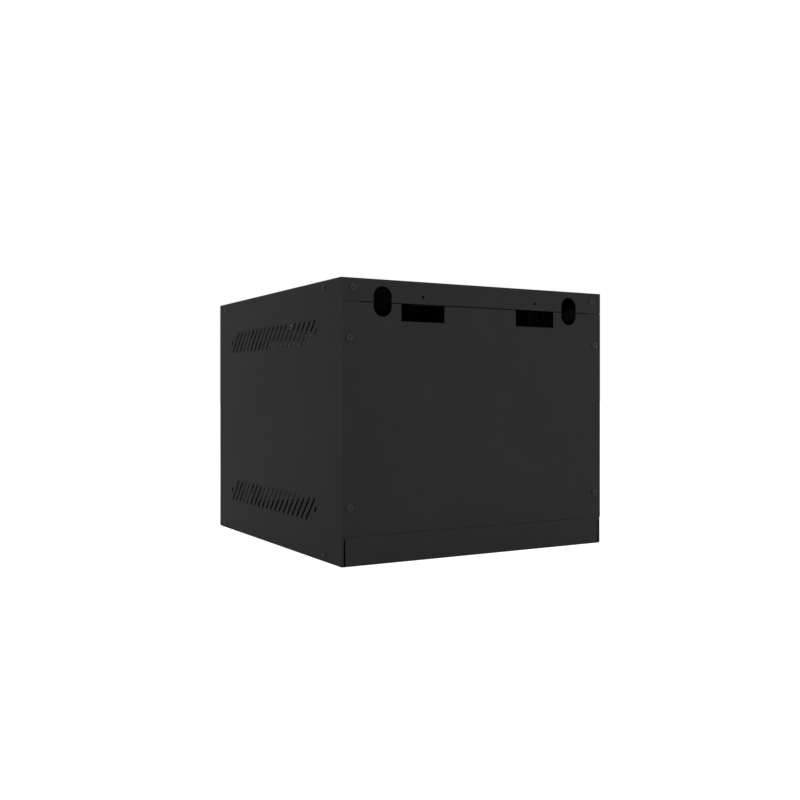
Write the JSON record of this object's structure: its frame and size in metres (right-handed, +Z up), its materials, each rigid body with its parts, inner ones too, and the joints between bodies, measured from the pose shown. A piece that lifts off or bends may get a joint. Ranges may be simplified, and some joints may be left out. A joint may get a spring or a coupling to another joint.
{
  "type": "wall mount network cabinet",
  "caption": "Black sheet-metal wall mount network cabinet with slanted side vents, rear hook windows and oblong cable holes, a locking glass door and sliding square-hole rack rails.",
  "frame": {"origin": "centre of the footprint on the underside of the bottom panel", "axes": "+Z up, +Y towards the wall, so the door faces -Y and +X is on the right of a person facing the door"},
  "size_m": [0.6032, 0.6064, 0.509],
  "materials": {
    "black_powder_coat": "fine black powder coat, semi-matt",
    "black_screws": "black zinc plated screws",
    "zinc_steel": "bright zinc plating",
    "lock_chrome": "satin chrome",
    "tinted_glass": "black smoked tempered glass",
    "foam_rubber": "black foam rubber"
  },
  "bodies": {
    "cabinet": {"bottom_cover_screws": "black_screws", "bottom_entry_cover": "black_powder_coat", "bottom_panel": "black_powder_coat", "door_seal": "foam_rubber", "earth_nut": "zinc_steel", "earth_stud": "zinc_steel", "earth_washer": "zinc_steel", "front_post_left": "black_powder_coat", "front_post_right": "black_powder_coat", "front_stop_bottom": "black_powder_coat", "front_stop_top": "black_powder_coat", "hanger_plate_left": "black_powder_coat", "hanger_plate_right": "black_powder_coat", "hinge_pin_lower": "zinc_steel", "hinge_pin_upper": "zinc_steel", "rail_carrier_lower_left": "black_powder_coat", "rail_carrier_lower_right": "black_powder_coat", "rail_carrier_upper_left": "black_powder_coat", "rail_carrier_upper_right": "black_powder_coat", "rear_panel": "black_powder_coat", "rear_panel_nuts": "zinc_steel", "rear_panel_screws": "black_screws", "side_nuts_left": "zinc_steel", "side_nuts_right": "zinc_steel", "side_panel_left": "black_powder_coat", "side_panel_right": "black_powder_coat", "side_screws_left": "black_screws", "side_screws_right": "black_screws", "strip_screw_nuts": "zinc_steel", "strip_screws": "black_screws", "top_cover_screws": "black_screws", "top_entry_cover": "black_powder_coat", "top_panel": "black_powder_coat"},
    "door": {"door_frame": "black_powder_coat", "hinge_block_lower": "black_powder_coat", "hinge_block_upper": "black_powder_coat", "door_glass": "tinted_glass", "glass_gasket": "foam_rubber", "glass_clips": "zinc_steel", "glass_clip_nuts": "zinc_steel", "lock_body": "lock_chrome", "lock_nut": "zinc_steel"},
    "lock": {"lock_plug": "lock_chrome", "lock_cam": "zinc_steel", "cam_screw": "zinc_steel"},
    "rail_front_left": {"rack_rail_front_left": "black_powder_coat", "rail_bolts_front_left": "zinc_steel", "rail_nuts_front_left": "zinc_steel"},
    "rail_front_right": {"rack_rail_front_right": "black_powder_coat", "rail_bolts_front_right": "zinc_steel", "rail_nuts_front_right": "zinc_steel"},
    "rail_rear_left": {"rack_rail_rear_left": "black_powder_coat", "rail_bolts_rear_left": "zinc_steel", "rail_nuts_rear_left": "zinc_steel"},
    "rail_rear_right": {"rack_rail_rear_right": "black_powder_coat", "rail_bolts_rear_right": "zinc_steel", "rail_nuts_rear_right": "zinc_steel"}
  },
  "joints": [
    {"name": "door_hinge", "type": "hinge", "parent": "cabinet", "child": "door", "pos_m": [-0.2901, -0.2945, 0.2545], "axis": [0, 0, -1], "range_deg": [0, 110]},
    {"name": "lock_turn", "type": "hinge", "parent": "door", "child": "lock", "pos_m": [0.2691, -0.29, 0.2545], "axis": [0, 1, 0], "range_deg": [0, 90]},
    {"name": "rail_front_left_slide", "type": "slide", "parent": "cabinet", "child": "rail_front_left", "axis": [0, 1, 0], "range_m": [0, 0.12]},
    {"name": "rail_front_right_slide", "type": "slide", "parent": "cabinet", "child": "rail_front_right", "axis": [0, 1, 0], "range_m": [0, 0.12]},
    {"name": "rail_rear_left_slide", "type": "slide", "parent": "cabinet", "child": "rail_rear_left", "axis": [0, 1, 0], "range_m": [-0.13, 0.07]},
    {"name": "rail_rear_right_slide", "type": "slide", "parent": "cabinet", "child": "rail_rear_right", "axis": [0, 1, 0], "range_m": [-0.13, 0.07]}
  ]
}
